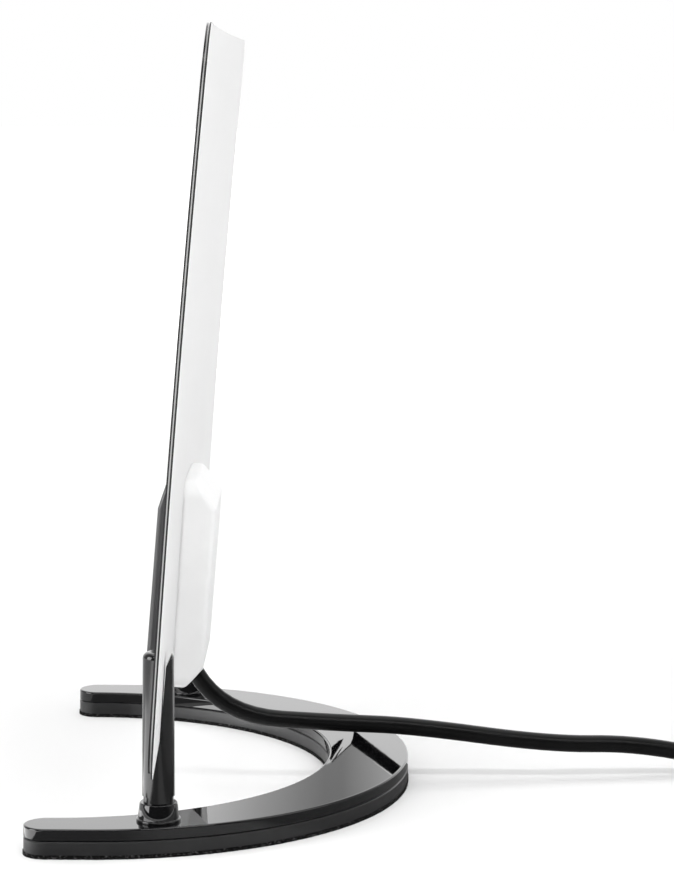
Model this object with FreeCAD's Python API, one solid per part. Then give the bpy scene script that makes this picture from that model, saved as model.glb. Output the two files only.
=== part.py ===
"""Indoor TV antenna: a dished panel standing in two slotted posts on a crescent base.

Millimetres, +Z up. The front of the panel faces -X, the cable leaves towards +X.
The panel and all that is fixed to it are drawn in a panel frame (x out of the back,
y across, z up the panel from its foot) and then leaned back into place.
"""
import math
import os

import FreeCAD
import Part

Vector = FreeCAD.Vector

# Crescent base: two half circles with shifted centres, and round arm ends
base_outer_radius = 81.9
arm_width = 11.4
base_centre_shift = 10.4
base_height = 7.6
pad_thickness = 1.0
pad_lip = 0.25
lower_shell_height = 3.4
shell_wall = 1.6
shell_floor = 1.2
shell_roof = 1.4
top_edge_round = 0.5
seam_groove = 0.25
weight_clearance = 0.3
weight_front_x = -2.0

# Screws that hold the two shells together from below
screw_head_diameter = 4.6
screw_head_height = 1.3
screw_diameter = 2.2
screw_length = 3.2
screw_boss_diameter = 6.0
screw_rear_angle = 14.0

# Posts and the collars they stand in
post_x = -15.5
post_diameter_foot = 8.2
post_diameter_tip = 7.8
post_tip_height = 50.6
post_tip_round = 1.6
post_neck_diameter = 7.6
post_neck_height = 1.7
post_spigot_diameter = 6.0
post_spigot_length = 6.6
spigot_clearance = 0.1
collar_height = 4.8
collar_foot_diameter = 10.6
collar_tip_diameter = 9.5
collar_ring_diameter = 11.2
collar_ring_height = 0.8
socket_boss_wall = 1.4

# Panel: a shallow dish of two laminated sheets
panel_half_width = 120.0
panel_height = 176.2
panel_lean = 4.47
panel_foot_x = -16.466
panel_foot_z = 28.768
dish_radius = 4600.0
rear_sheet_thickness = 0.4
front_panel_thickness = 0.85
rear_sheet_corner = 8.0
front_panel_corner = 14.0
foil_thickness = 0.15
slot_clearance = 0.2
slot_lead_in = 1.6

# Foil elements in the panel, one to each side of the feed point
element_gap = 6.0
element_reach = 108.0
element_low = 28.1
element_high = 162.1
element_feed_width = 12.0
feed_z = 38.1

# Electronics housing: a cover on the front and a box on the back
housing_half_width = 20.0
housing_low = 0.5
housing_high = 57.3
housing_depth = 9.2
housing_top_edge = 3.4
housing_top_slope = 7.3
exit_face_depth = 4.8
exit_face_height = 6.3
housing_top_corner = 5.0
housing_low_corner = 4.0
housing_wall = 1.6
housing_edge_round = 1.4
housing_foot_height = 0.5
housing_foot_inset = 0.4
cover_half_width = 38.0
cover_low = 0.8
cover_high = 64.1
cover_depth = 4.2
cover_top_edge = 1.2
cover_top_slope = 12.0
cover_low_slope = 6.0
cover_top_corner = 10.0
cover_low_corner = 4.0
cover_edge_round = 1.0
peg_diameter = 3.0
peg_clearance = 0.2
peg_reach = 2.4
peg_y = 15.0
peg_high_z = 46.1
peg_low_z = 22.1
peg_boss_diameter = 6.4

# Board with its parts, and the springs that touch the foils
board_half_width = 11.0
board_low = 16.1
board_high = 44.1
board_thickness = 1.2
board_back = 5.4
standoff_diameter = 4.0
standoff_inset = 3.0
can_width = 9.0
can_length = 14.0
can_height = 2.6
can_y = -5.5
can_z = 27.6
core_outer_diameter = 6.4
core_bore = 3.0
core_height = 2.4
core_y = 6.0
core_z = 27.6
spring_thickness = 0.4
spring_width = 4.0
spring_foot = 5.0
window_half_width = 11.0
window_half_height = 3.6

# Cable, its exit and the coil of unseen length
cable_diameter = 4.8
cable_exit_y = -10.0
grommet_diameter = 6.2
grommet_depth = 3.0
cable_first_run = 15.4
cable_route = [
    (22.0, -8.0, 17.4),
    (50.5, -4.5, 15.8),
    (84.0, -0.5, 10.7),
    (112.0, 3.0, 9.6),
    (137.0, 6.5, 4.2),
]
coil_tangent_x = 178.0
coil_tangent_y = 8.0
coil_lead_in = 18.0
coil_turns_in_layer = 4
coil_layers = 2
coil_mean_diameter = 54.0
coil_lead_out = 22.0
coil_out_angle = -12.0
coil_edge_bevel = 1.4
tie_width = 6.0
tie_thickness = 1.0
tie_angle = 60.0

# Aerial plug on the end of the cable
plug_body_diameter = 10.0
plug_body_length = 24.0
plug_body_waist = 7.0
plug_waist_length = 8.0
plug_sleeve_diameter = 9.5
plug_sleeve_bore = 8.1
plug_sleeve_length = 9.5
plug_insulator_length = 4.0
plug_pin_diameter = 2.4
plug_pin_length = 9.0

# Values that follow from the ones above
base_inner_radius = base_outer_radius - arm_width
base_rear_x = 0.5 * (base_outer_radius + base_centre_shift + 0.5 * arm_width)
outer_centre_x = base_rear_x - base_outer_radius
inner_centre_x = outer_centre_x - base_centre_shift
arm_middle_radius = 0.5 * (base_outer_radius + base_inner_radius)
seam_z = pad_thickness + lower_shell_height
collar_top_z = base_height + collar_height
panel_thickness = rear_sheet_thickness + front_panel_thickness
panel_middle = 0.5 * panel_height
coil_turns = coil_layers * (coil_turns_in_layer - 1) + coil_layers - 1
inner_coil_radius = 0.5 * coil_mean_diameter - 0.5 * coil_turns_in_layer * cable_diameter
outer_coil_radius = 0.5 * coil_mean_diameter + 0.5 * coil_turns_in_layer * cable_diameter
coil_height = coil_layers * cable_diameter
cable_radius = 0.5 * cable_diameter

# How the shapes are worked: edge picking, slanted inner walls, bends, trimming
pick_tolerance = 0.01
slanted_wall_share = 0.4
bend_setback_share = 0.45
trim_size = 40.0


def crescent(grow, low, high):
    """Upright crescent prism, its outline moved outwards by grow."""
    outer = base_outer_radius + grow
    inner = base_inner_radius - grow
    end = 0.5 * arm_width + grow
    end_tip = inner_centre_x - end
    far_outer = Vector(outer_centre_x, outer, low)
    near_outer = Vector(outer_centre_x, -outer, low)
    far_end_outer = Vector(inner_centre_x, outer, low)
    near_end_outer = Vector(inner_centre_x, -outer, low)
    far_end_inner = Vector(inner_centre_x, inner, low)
    near_end_inner = Vector(inner_centre_x, -inner, low)
    edges = [
        Part.Arc(near_outer, Vector(outer_centre_x + outer, 0, low), far_outer).toShape(),
        Part.makeLine(far_outer, far_end_outer),
        Part.Arc(far_end_outer, Vector(end_tip, arm_middle_radius, low), far_end_inner).toShape(),
        Part.Arc(far_end_inner, Vector(inner_centre_x + inner, 0, low), near_end_inner).toShape(),
        Part.Arc(near_end_inner, Vector(end_tip, -arm_middle_radius, low), near_end_outer).toShape(),
        Part.makeLine(near_end_outer, near_outer),
    ]
    face = Part.Face(Part.Wire(edges))
    return face.extrude(Vector(0, 0, high - low))


def arm_middle_y(x):
    """Distance of the crescent's middle line from the centre plane at x."""
    outer_y = math.sqrt(base_outer_radius ** 2 - max(0.0, x - outer_centre_x) ** 2)
    inner_y = math.sqrt(base_inner_radius ** 2 - (x - inner_centre_x) ** 2)
    return 0.5 * (outer_y + inner_y)


def post(diameter, height, x, y, z):
    """Plain upright cylinder."""
    return Part.makeCylinder(0.5 * diameter, height, Vector(x, y, z))


def lean_back(shape):
    """Move a shape from the panel frame into place."""
    placed = shape.copy()
    placed.rotate(Vector(0, 0, 0), Vector(0, 1, 0), panel_lean)
    placed.translate(Vector(panel_foot_x, 0, panel_foot_z))
    return placed


def dish(depth):
    """Ball whose surface lies the given depth in front of the panel's back."""
    return Part.makeSphere(dish_radius + depth, Vector(dish_radius, 0, panel_middle))


def rounded_plate(half_width, low, high, top_corner, low_corner, near_x, far_x):
    """Plate across the panel frame with rounded corners, from near_x to far_x."""
    width = half_width
    k = math.sqrt(0.5)
    a = Vector(near_x, -width + low_corner, low)
    b = Vector(near_x, width - low_corner, low)
    c = Vector(near_x, width, low + low_corner)
    d = Vector(near_x, width, high - top_corner)
    e = Vector(near_x, width - top_corner, high)
    f = Vector(near_x, -width + top_corner, high)
    g = Vector(near_x, -width, high - top_corner)
    h = Vector(near_x, -width, low + low_corner)
    low_y = width - low_corner + k * low_corner
    low_z = low + low_corner - k * low_corner
    top_y = width - top_corner + k * top_corner
    top_z = high - top_corner + k * top_corner
    edges = [
        Part.makeLine(a, b),
        Part.Arc(b, Vector(near_x, low_y, low_z), c).toShape(),
        Part.makeLine(c, d),
        Part.Arc(d, Vector(near_x, top_y, top_z), e).toShape(),
        Part.makeLine(e, f),
        Part.Arc(f, Vector(near_x, -top_y, top_z), g).toShape(),
        Part.makeLine(g, h),
        Part.Arc(h, Vector(near_x, -low_y, low_z), a).toShape(),
    ]
    face = Part.Face(Part.Wire(edges))
    return face.extrude(Vector(far_x - near_x, 0, 0))


def across(profile, half_width):
    """Extrude a profile of (x, z) points across the panel frame."""
    points = [Vector(x, -half_width, z) for x, z in profile]
    face = Part.Face(Part.makePolygon(points + points[:1]))
    return face.extrude(Vector(0, 2 * half_width, 0))


def box_between(x0, x1, y0, y1, z0, z1):
    """Box from its two corners."""
    return Part.makeBox(x1 - x0, y1 - y0, z1 - z0, Vector(x0, y0, z0))


def peg(diameter, y, z, x0, x1):
    """Cylinder along the panel frame's x."""
    return Part.makeCylinder(0.5 * diameter, x1 - x0, Vector(x0, y, z), Vector(1, 0, 0))


def housing_block(inset):
    """Outside of the rear box, or its cavity when inset by the wall."""
    low = housing_low + inset
    high = housing_high - inset
    depth = housing_depth - inset
    slant = slanted_wall_share * inset
    start = -cover_depth
    profile = [
        (start, low),
        (depth - exit_face_depth + slant, low),
        (depth, low + exit_face_height - slant),
        (depth, high - housing_top_slope + slant),
        (housing_top_edge, high),
        (start, high),
    ]
    outline = rounded_plate(
        housing_half_width - inset, low, high,
        housing_top_corner - inset, housing_low_corner - inset, start, depth,
    )
    return across(profile, housing_half_width).common(outline)


def cover_block(inset):
    """Outside of the front cover, or its cavity when inset by the wall."""
    low = cover_low + inset
    high = cover_high - inset
    front = -panel_thickness - cover_depth + inset
    edge = -panel_thickness - cover_top_edge
    back = housing_wall
    profile = [
        (back, low),
        (edge, low),
        (front, low + cover_low_slope),
        (front, high - cover_top_slope),
        (edge, high),
        (back, high),
    ]
    outline = rounded_plate(
        cover_half_width - inset, low, high,
        cover_top_corner - inset, cover_low_corner - inset, front, back,
    )
    return across(profile, cover_half_width).common(outline)


def rounded_edges(solid, radius, chosen):
    """Round the edges whose bounding box passes the test."""
    return solid.makeFillet(radius, [edge for edge in solid.Edges if chosen(edge.BoundBox)])


def bevelled_edges(solid, size, chosen):
    """Bevel the edges whose bounding box passes the test."""
    return solid.makeChamfer(size, [edge for edge in solid.Edges if chosen(edge.BoundBox)])


def element(side):
    """One foil: a wedge that opens from the feed point towards the panel's edge."""
    inner = 0.5 * element_gap * side
    outer = element_reach * side
    points = [
        Vector(0, inner, feed_z - 0.5 * element_feed_width),
        Vector(0, outer, element_low),
        Vector(0, outer, element_high),
        Vector(0, inner, feed_z + 0.5 * element_feed_width),
    ]
    face = Part.Face(Part.makePolygon(points + points[:1]))
    face.translate(Vector(-panel_thickness, 0, 0))
    wedge = face.extrude(Vector(2 * panel_thickness + dish_sag(element_reach, element_high), 0, 0))
    layer = dish(rear_sheet_thickness + foil_thickness).cut(dish(rear_sheet_thickness))
    return wedge.common(layer)


def dish_sag(y, z):
    """How far the dish has come back from its centre at y, z."""
    return (y ** 2 + (z - panel_middle) ** 2) / (2 * dish_radius)


def bent_tube(points, radius):
    """Round tube of straight runs and tangent arcs; also gives its length and radii."""
    edges = []
    radii = []
    length = 0.0
    here = points[0]
    for before, corner, after in zip(points, points[1:], points[2:]):
        run_in = corner.sub(before)
        run_out = after.sub(corner)
        turn = run_in.getAngle(run_out)
        shorter = min(run_in.Length, run_out.Length)
        setback = bend_setback_share * shorter
        bend = setback / math.tan(0.5 * turn)
        way_in = Vector(run_in).normalize()
        way_out = Vector(run_out).normalize()
        start = corner.sub(way_in * setback)
        end = corner.add(way_out * setback)
        inward = way_out.sub(way_in).normalize()
        middle = corner.add(inward * (bend / math.cos(0.5 * turn) - bend))
        edges.append(Part.makeLine(here, start))
        edges.append(Part.Arc(start, middle, end).toShape())
        length += start.sub(here).Length + bend * turn
        radii.append(bend)
        here = end
    edges.append(Part.makeLine(here, points[-1]))
    length += points[-1].sub(here).Length
    spine = Part.Wire(edges)
    first = points[1].sub(points[0])
    ring = Part.Wire(Part.makeCircle(radius, points[0], first))
    return spine.makePipeShell([ring], True, False), length, radii


os.makedirs("parts", exist_ok=True)
nodes = {}

# Posts stand on the middle line of the arms
post_y = arm_middle_y(post_x)
post_places = [("right_post", -post_y), ("left_post", post_y)]

# Screws sit near the arm ends and at both sides of the rear
screw_places = []
for angle in (screw_rear_angle, -screw_rear_angle):
    turn = math.radians(angle)
    middle = 0.5 * (base_outer_radius + base_inner_radius - base_centre_shift)
    screw_places.append((outer_centre_x + middle * math.cos(turn), middle * math.sin(turn)))
for side in (1, -1):
    screw_places.append((inner_centre_x, side * arm_middle_radius))

# Foam pad, a little proud of the shells
nodes["foot_pad"] = crescent(pad_lip, 0.0, pad_thickness)

# Lower shell: a tray with clearance holes and counterbores for the screws
lower_shell = crescent(0.0, pad_thickness, seam_z)
lower_shell = bevelled_edges(lower_shell, seam_groove, lambda box: box.ZMin > seam_z - pick_tolerance)
lower_shell = lower_shell.cut(crescent(-shell_wall, pad_thickness + shell_floor, seam_z))
for x, y in screw_places:
    boss = post(screw_boss_diameter, seam_z - pad_thickness, x, y, pad_thickness)
    lower_shell = lower_shell.fuse(boss)
    lower_shell = lower_shell.cut(post(screw_head_diameter, screw_head_height, x, y, pad_thickness))
    lower_shell = lower_shell.cut(post(screw_diameter, base_height, x, y, pad_thickness))
nodes["base_bottom_shell"] = lower_shell.removeSplitter()

# Upper shell: glossy cap with rounded top edge, screw bosses and the two collars
upper_shell = crescent(0.0, seam_z, base_height)
upper_top_z = base_height - pick_tolerance
upper_shell = rounded_edges(upper_shell, top_edge_round, lambda box: box.ZMin > upper_top_z)
upper_shell = bevelled_edges(upper_shell, seam_groove, lambda box: box.ZMax < seam_z + pick_tolerance)
upper_shell = upper_shell.cut(crescent(-shell_wall, seam_z, base_height - shell_roof))
screw_bite = screw_length - lower_shell_height + screw_head_height
for x, y in screw_places:
    boss = post(screw_boss_diameter, base_height - shell_roof - seam_z, x, y, seam_z)
    upper_shell = upper_shell.fuse(boss)
    upper_shell = upper_shell.cut(post(screw_diameter, screw_bite, x, y, seam_z))
socket_diameter = post_spigot_diameter + 2 * spigot_clearance
socket_floor_z = collar_top_z - post_spigot_length - spigot_clearance
for name, y in post_places:
    boss = post(socket_diameter + 2 * socket_boss_wall, base_height - seam_z, post_x, y, seam_z)
    ring = post(collar_ring_diameter, collar_ring_height, post_x, y, base_height)
    collar_foot = Vector(post_x, y, base_height)
    cone = Part.makeCone(
        0.5 * collar_foot_diameter, 0.5 * collar_tip_diameter, collar_height, collar_foot,
    )
    upper_shell = upper_shell.fuse([boss, ring, cone])
    upper_shell = upper_shell.cut(post(socket_diameter, collar_top_z, post_x, y, socket_floor_z))
nodes["base_top_shell"] = upper_shell.removeSplitter()

# Steel weight in the rear of the base, clear of the screw bosses
weight_floor_z = pad_thickness + shell_floor
weight_top_z = base_height - shell_roof - weight_clearance
weight = crescent(-shell_wall - weight_clearance, weight_floor_z, weight_top_z)
rear_part = box_between(
    weight_front_x, base_rear_x, -base_outer_radius, base_outer_radius, 0, base_height,
)
weight = weight.common(rear_part)
for x, y in screw_places:
    weight = weight.cut(post(screw_boss_diameter + 2 * weight_clearance, base_height, x, y, 0))
nodes["base_weight"] = weight

# Screws: flat heads in the counterbores, shanks up into the bosses
screws = []
for x, y in screw_places:
    head = post(screw_head_diameter, screw_head_height, x, y, pad_thickness)
    shank = post(screw_diameter, screw_length, x, y, pad_thickness + screw_head_height)
    screws.append(head.fuse(shank).removeSplitter())
nodes["base_screws"] = Part.makeCompound(screws)

# Panel sheets, cut out of the dish
sheet_back = dish_sag(panel_half_width, panel_height) + panel_thickness
sheet_layer = dish(rear_sheet_thickness).cut(dish(0.0))
panel_layer = dish(panel_thickness).cut(dish(rear_sheet_thickness))
sheet_outline = rounded_plate(
    panel_half_width, 0.0, panel_height,
    rear_sheet_corner, rear_sheet_corner, -sheet_back, sheet_back,
)
panel_outline = rounded_plate(
    panel_half_width, 0.0, panel_height,
    front_panel_corner, front_panel_corner, -sheet_back, sheet_back,
)
rear_sheet = sheet_outline.common(sheet_layer)
front_panel = panel_outline.common(panel_layer)
peg_places = [(s * peg_y, z) for s in (1, -1) for z in (peg_high_z, peg_low_z)]
for y, z in peg_places:
    hole = peg(peg_diameter + 2 * peg_clearance, y, z, -sheet_back, sheet_back)
    rear_sheet = rear_sheet.cut(hole)
    front_panel = front_panel.cut(hole)
window = box_between(
    -rear_sheet_thickness, sheet_back, -window_half_width, window_half_width,
    feed_z - window_half_height, feed_z + window_half_height,
)
rear_sheet = rear_sheet.cut(window)
left_element = element(1)
right_element = element(-1)
for y, z in peg_places:
    hole = peg(peg_diameter + 2 * peg_clearance, y, z, -sheet_back, sheet_back)
    left_element = left_element.cut(hole)
    right_element = right_element.cut(hole)
front_panel = front_panel.cut([left_element, right_element])
nodes["front_panel"] = lean_back(front_panel)
nodes["rear_sheet"] = lean_back(rear_sheet)
nodes["left_element"] = lean_back(left_element)
nodes["right_element"] = lean_back(right_element)

# Posts: slotted for the panel, with a lead-in at the mouth of the slot
slot_depth = (post_tip_height - panel_foot_z) / math.cos(math.radians(panel_lean))
slot_front = dish_sag(post_y, slot_depth) - panel_thickness - slot_clearance
slot_back = dish_sag(post_y, 0.0) + slot_clearance
for name, y in post_places:
    stem_z = collar_top_z + post_neck_height
    stem_foot = Vector(post_x, y, stem_z)
    stem = Part.makeCone(
        0.5 * post_diameter_foot, 0.5 * post_diameter_tip, post_tip_height - stem_z, stem_foot,
    )
    stem = rounded_edges(stem, post_tip_round, lambda box: box.ZMin > post_tip_height - pick_tolerance)
    neck = post(post_neck_diameter, post_neck_height, post_x, y, collar_top_z)
    spigot = post(post_spigot_diameter, post_spigot_length, post_x, y, collar_top_z - post_spigot_length)
    whole = stem.fuse([neck, spigot])
    reach = post_diameter_foot
    slot = box_between(slot_front, slot_back, y - reach, y + reach, 0.0, post_tip_height)
    whole = whole.cut(lean_back(slot))
    mouth = across(
        [
            (slot_back, slot_depth - 2 * slot_lead_in),
            (slot_back + slot_lead_in, slot_depth + slot_lead_in),
            (slot_front - slot_lead_in, slot_depth + slot_lead_in),
            (slot_front, slot_depth - 2 * slot_lead_in),
        ],
        reach,
    )
    mouth.translate(Vector(0, y, 0))
    whole = whole.cut(lean_back(mouth))
    nodes[name] = whole.removeSplitter()

# Front cover: shallow black shell on the panel's face, with sockets for the pegs
cover_face_x = -panel_thickness - cover_top_edge + pick_tolerance
cover = rounded_edges(cover_block(0.0), cover_edge_round, lambda box: box.XMax < cover_face_x)
cover = cover.cut(cover_block(housing_wall))
for y, z in peg_places:
    boss = peg(peg_boss_diameter, y, z, -panel_thickness - cover_depth, 0.0)
    cover = cover.fuse(boss.common(cover_block(0.0)))
    reach = dish_sag(y, z) - panel_thickness - peg_reach
    cover = cover.cut(peg(peg_diameter + 2 * peg_clearance, y, z, reach - peg_clearance, sheet_back))
cover = cover.cut(dish(panel_thickness))
nodes["front_cover"] = lean_back(cover.removeSplitter())

# Rear box: white shell on the panel's back, with stand-offs, pegs and the cable exit
housing_face_x = housing_top_edge - pick_tolerance
housing = rounded_edges(housing_block(0.0), housing_edge_round, lambda box: box.XMin > housing_face_x)
housing = housing.cut(housing_block(housing_wall))
standoffs = [
    (s * (board_half_width - standoff_inset), z)
    for s in (1, -1)
    for z in (board_low + standoff_inset, board_high - standoff_inset)
]
for y, z in standoffs:
    housing = housing.fuse(peg(standoff_diameter, y, z, board_back, housing_depth - 0.5 * housing_wall))
for y, z in peg_places:
    boss = peg(peg_boss_diameter, y, z, -cover_depth, housing_depth)
    housing = housing.fuse(boss.common(housing_block(0.0)))
foot = housing.cut(dish(-housing_foot_height)).common(housing_block(housing_foot_inset))
housing = housing.common(dish(-housing_foot_height)).fuse(foot).common(dish(0.0))
for y, z in peg_places:
    tip = dish_sag(y, z) - panel_thickness - peg_reach
    housing = housing.fuse(peg(peg_diameter, y, z, tip, housing_depth - housing_wall))
exit_x = housing_depth - 0.5 * exit_face_depth
exit_z = housing_low + 0.5 * exit_face_height
exit_centre = Vector(exit_x, cable_exit_y, exit_z)
exit_way = Vector(exit_face_height, 0, -exit_face_depth).normalize()
grommet = Part.makeCylinder(
    0.5 * grommet_diameter, grommet_depth, exit_centre.sub(exit_way * grommet_depth), exit_way,
)
housing = housing.cut(grommet)
nodes["rear_housing"] = lean_back(housing.removeSplitter())
nodes["cable_grommet"] = lean_back(grommet)

# Board on the stand-offs, with a screening can and a ring core on its front
board_front = board_back - board_thickness
nodes["circuit_board"] = lean_back(
    box_between(board_front, board_back, -board_half_width, board_half_width, board_low, board_high)
)
nodes["shield_can"] = lean_back(
    box_between(
        board_front - can_height, board_front, can_y - 0.5 * can_width, can_y + 0.5 * can_width,
        can_z - 0.5 * can_length, can_z + 0.5 * can_length,
    )
)
core = peg(core_outer_diameter, core_y, core_z, board_front - core_height, board_front)
core = core.cut(peg(core_bore, core_y, core_z, board_front - core_height, board_front))
nodes["balun_core"] = lean_back(core)

# Springs from the board through the window to the foils
for name, side in (("left_contact", 1), ("right_contact", -1)):
    near_y = side * 0.5 * element_gap
    far_y = side * (0.5 * element_gap + spring_foot)
    y0 = min(near_y, far_y)
    y1 = max(near_y, far_y)
    leg_y = far_y - side * spring_thickness
    z0 = feed_z - 0.5 * spring_width
    z1 = feed_z + 0.5 * spring_width
    tip = dish_sag(far_y, z0) - rear_sheet_thickness
    foot = box_between(board_front - spring_thickness, board_front, y0, y1, z0, z1)
    leg = box_between(tip, board_front, min(leg_y, far_y), max(leg_y, far_y), z0, z1)
    pad = box_between(tip - spring_thickness, tip + spring_thickness, y0, y1, z0, z1)
    spring = foot.fuse([leg, pad]).common(dish(rear_sheet_thickness))
    nodes[name] = lean_back(spring.removeSplitter())

# Cable from the exit, over the rear of the base and down to the coil's lead
exit_point = lean_back(Part.Vertex(exit_centre)).Point
exit_end = lean_back(Part.Vertex(exit_centre.add(exit_way * cable_first_run))).Point
lead_start = Vector(coil_tangent_x - coil_lead_in, coil_tangent_y, cable_radius)
route = [exit_point, exit_end] + [Vector(*point) for point in cable_route] + [lead_start]
cable, cable_length, bend_radii = bent_tube(route, cable_radius)
nodes["coax_cable"] = cable

# Coil: its outer shape with the two straight leads
coil_centre_y = coil_tangent_y + outer_coil_radius - cable_radius
coil_centre = Vector(coil_tangent_x, coil_centre_y, 0)
coil = Part.makeCylinder(outer_coil_radius, coil_height, coil_centre)
coil = coil.cut(Part.makeCylinder(inner_coil_radius, coil_height, coil_centre))
coil = coil.makeChamfer(coil_edge_bevel, [edge for edge in coil.Edges if edge.Closed])
last_run = lead_start.sub(route[-2])
lead_end = Vector(coil_tangent_x, coil_tangent_y, cable_radius)
joint_plane = Vector(last_run).normalize()
lead_from = lead_start.sub(Vector(cable_diameter, 0, 0))
lead_in = Part.makeCylinder(cable_radius, lead_end.sub(lead_from).Length, lead_from, Vector(1, 0, 0))
lead_in = lead_in.common(Part.makeCylinder(trim_size, trim_size, lead_start, joint_plane))
out_turn = math.radians(coil_out_angle)
out_way = Vector(math.cos(out_turn), math.sin(out_turn), 0)
out_radius = outer_coil_radius - cable_radius
out_offset = Vector(out_way.y * out_radius, -out_way.x * out_radius, coil_height - cable_radius)
out_start = coil_centre.add(out_offset)
out_end = out_start.add(out_way * coil_lead_out)
out_end.z = 0.5 * plug_body_diameter
out_run = out_end.sub(out_start)
lead_out = Part.makeCylinder(cable_radius, out_run.Length + cable_diameter, out_start, out_run)
lead_out = lead_out.cut(Part.makeCylinder(trim_size, trim_size, out_end, out_way))
nodes["cable_coil"] = coil.fuse([lead_in, lead_out]).removeSplitter()

# Tie round the coil's section
tie = box_between(
    inner_coil_radius - tie_thickness, outer_coil_radius + tie_thickness,
    -0.5 * tie_width, 0.5 * tie_width, 0.0, coil_height + tie_thickness,
)
tie.rotate(Vector(0, 0, 0), Vector(0, 0, 1), tie_angle)
tie.translate(coil_centre)
nodes["cable_tie"] = tie.cut(coil)

# Plug, turned about the line of the lead
plug_at = out_end


def turned(diameter, start, length):
    """Cylinder on the plug's axis, start measured from the cable's end."""
    return Part.makeCylinder(0.5 * diameter, length, plug_at.add(out_way * start), out_way)


waist = Part.makeCone(
    0.5 * plug_body_waist, 0.5 * plug_body_diameter, plug_waist_length, plug_at, out_way,
)
grip = turned(plug_body_diameter, plug_waist_length, plug_body_length - plug_waist_length)
sleeve = turned(plug_sleeve_diameter, plug_body_length, plug_sleeve_length)
nodes["plug_body"] = waist.fuse(grip).removeSplitter()
nodes["plug_sleeve"] = sleeve.cut(turned(plug_sleeve_bore, plug_body_length, plug_sleeve_length))
insulator = turned(plug_sleeve_bore, plug_body_length, plug_insulator_length)
pin = turned(plug_pin_diameter, plug_body_length, plug_pin_length)
nodes["plug_insulator"] = insulator.cut(pin)
nodes["plug_pin"] = pin

for name, shape in nodes.items():
    shape.exportStep("parts/" + name + ".step")
    print(name, "solids", len(shape.Solids), "volume", round(shape.Volume, 1), "valid", shape.isValid())

section = math.pi * cable_radius ** 2
coil_length = math.pi * coil_mean_diameter * coil_turns
print("cable bend radii", [round(radius, 1) for radius in bend_radii])
print("cable tube volume over section times length", round(cable.Volume / (section * cable_length), 4))
print("cable length in all", round(cable_length + coil_lead_in + coil_length + coil_lead_out))
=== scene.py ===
import math

import bpy
import numpy as np
from mathutils import Matrix, Vector


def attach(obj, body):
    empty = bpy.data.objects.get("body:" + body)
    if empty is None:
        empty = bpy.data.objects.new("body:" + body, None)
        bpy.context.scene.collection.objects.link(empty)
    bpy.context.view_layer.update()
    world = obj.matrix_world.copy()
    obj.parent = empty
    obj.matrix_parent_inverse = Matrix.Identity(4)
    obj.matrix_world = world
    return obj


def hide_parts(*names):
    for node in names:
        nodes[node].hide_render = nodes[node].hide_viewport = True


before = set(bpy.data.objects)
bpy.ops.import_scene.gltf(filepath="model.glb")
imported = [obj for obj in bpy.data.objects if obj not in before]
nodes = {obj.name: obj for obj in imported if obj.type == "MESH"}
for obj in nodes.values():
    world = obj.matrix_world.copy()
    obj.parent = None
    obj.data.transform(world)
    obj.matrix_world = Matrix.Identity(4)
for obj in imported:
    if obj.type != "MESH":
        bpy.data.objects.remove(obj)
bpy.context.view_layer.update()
mm = 0.001
print("frame loaded,", len(nodes), "nodes")


# camera: where the photograph was taken from, sizes in mm and the 674 x 894 picture's pixels
photoCamera = {
    "place": (26.93, -728.95, 189.48),
    "focal": 2692.4,
    "longSide": 894,
    "sensor": 36.0,
    "pitch": 0.13216,
    "yaw": -0.00245,
    "roll": 0.00714,
    "clip": (0.01, 60.0),
}


def makeCamera(c):
    data = bpy.data.cameras.new("photoCamera")
    data.sensor_width = c["sensor"]
    data.lens = c["focal"] * c["sensor"] / c["longSide"]
    data.clip_start, data.clip_end = c["clip"]
    camera = bpy.data.objects.new("photoCamera", data)
    turn = Matrix.Rotation(c["yaw"], 4, "Z") @ Matrix.Rotation(math.pi / 2 - c["pitch"], 4, "X")
    turn = turn @ Matrix.Rotation(c["roll"], 4, "Z")
    camera.matrix_world = Matrix.Translation(Vector(c["place"]) * mm) @ turn
    bpy.context.scene.collection.objects.link(camera)
    bpy.context.scene.camera = camera


makeCamera(photoCamera)


# helpers shared by the pieces
def linear(code):
    # sRGB hex to linear colour
    parts = [int(code[i:i + 2], 16) / 255 for i in (1, 3, 5)]
    return [p / 12.92 if p <= 0.04045 else ((p + 0.055) / 1.055) ** 2.4 for p in parts] + [1.0]


def addNode(tree, kind, inputs=None, **settings):
    made = tree.nodes.new(kind)
    for name, value in settings.items():
        setattr(made, name, value)
    for key, value in (inputs or {}).items():
        if isinstance(value, bpy.types.NodeSocket):
            tree.links.new(value, made.inputs[key])
        else:
            made.inputs[key].default_value = value
    return made


def newMaterial(name):
    made = bpy.data.materials.new(name)
    made.use_nodes = True
    made.node_tree.nodes.clear()
    return made, made.node_tree


def setStops(ramp, stops):
    # stops: place along the ramp and its hex colour or plain grey level
    band = ramp.color_ramp
    while len(band.elements) < len(stops):
        band.elements.new(0.5)
    for element, (place, value) in zip(band.elements, stops):
        element.position = place
        element.color = linear(value) if isinstance(value, str) else (value, value, value, 1.0)
    return ramp.outputs["Color"]


noiseSpan = (0.3, 0.7)  # nearly all the values of a noise texture lie in here


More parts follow.
